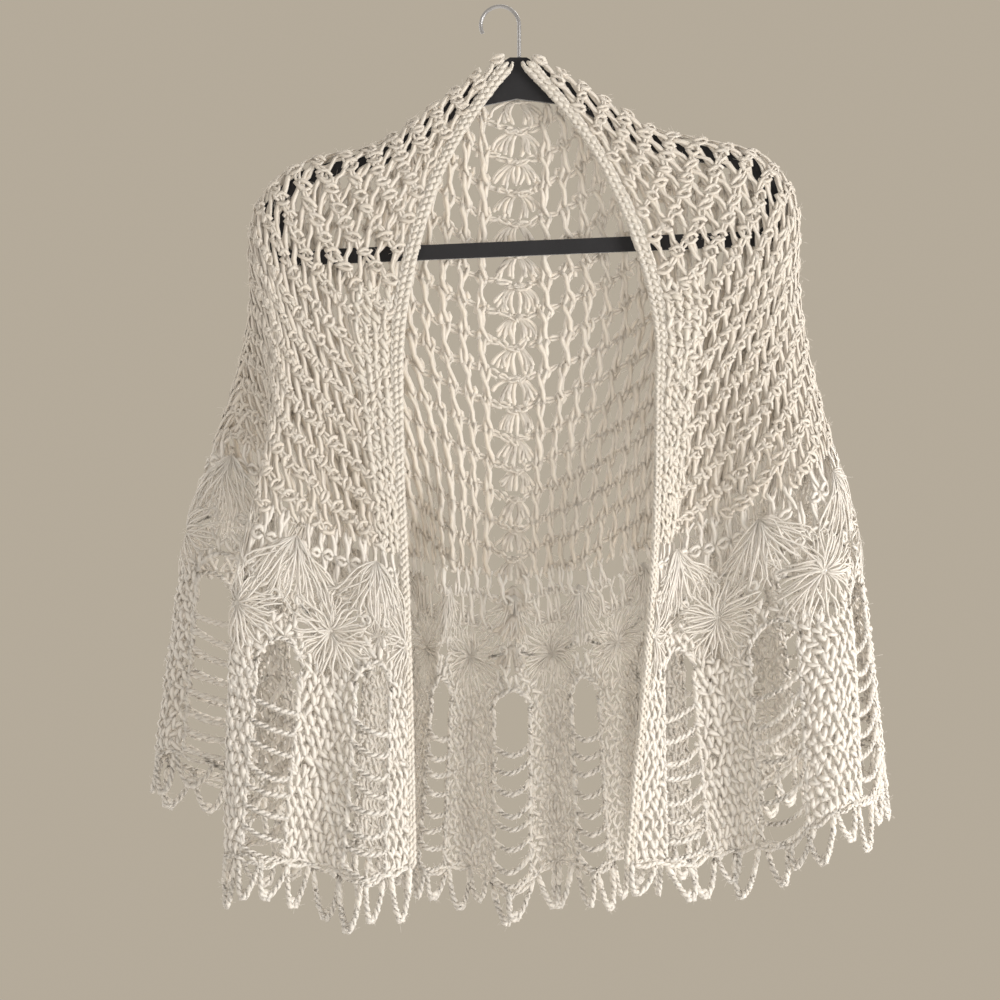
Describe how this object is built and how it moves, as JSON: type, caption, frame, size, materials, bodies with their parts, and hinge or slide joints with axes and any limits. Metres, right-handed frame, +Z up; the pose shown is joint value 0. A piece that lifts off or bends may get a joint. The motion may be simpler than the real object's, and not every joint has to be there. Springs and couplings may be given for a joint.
{
  "type": "half-round crochet shawl on a flocked hanger",
  "caption": "Sleeveless half-round crochet shawl with open front, flower band and looped hem, hung on a slim flocked hanger with a wire hook.",
  "frame": {"origin": "top of the inside of the hook's arc, where a rail or peg carries it", "axes": "+Z up; -Y the garment's open front, towards the viewer; +X to the viewer's right along the hanger"},
  "size_m": [0.6201, 0.1981, 0.7915],
  "materials": {
    "ground_yarn": "fuzzy cream yarn, open net stitch",
    "lace_yarn": "fuzzy cream yarn, flowers and ladders",
    "band_yarn": "fuzzy cream yarn, dense single crochet",
    "black_flock": "black flocked",
    "hook_steel": "polished wire"
  },
  "bodies": {
    "root": {"ground_front_left": "ground_yarn", "ground_back": "ground_yarn", "ground_front_right": "ground_yarn", "flowers_front_left": "lace_yarn", "border_front_left": "lace_yarn", "hem_loops_front_left": "lace_yarn", "flowers_side_left": "lace_yarn", "border_side_left": "lace_yarn", "hem_loops_side_left": "lace_yarn", "flowers_back_left": "lace_yarn", "border_back_left": "lace_yarn", "hem_loops_back_left": "lace_yarn", "flowers_back_middle": "lace_yarn", "border_back_middle": "lace_yarn", "hem_loops_back_middle": "lace_yarn", "flowers_back_right": "lace_yarn", "border_back_right": "lace_yarn", "hem_loops_back_right": "lace_yarn", "flowers_side_right": "lace_yarn", "border_side_right": "lace_yarn", "hem_loops_side_right": "lace_yarn", "flowers_front_right": "lace_yarn", "border_front_right": "lace_yarn", "hem_loops_front_right": "lace_yarn", "front_band_left": "band_yarn", "front_band_right": "band_yarn", "hanger_frame": "black_flock", "hanger_hook": "hook_steel"}
  },
  "joints": []
}
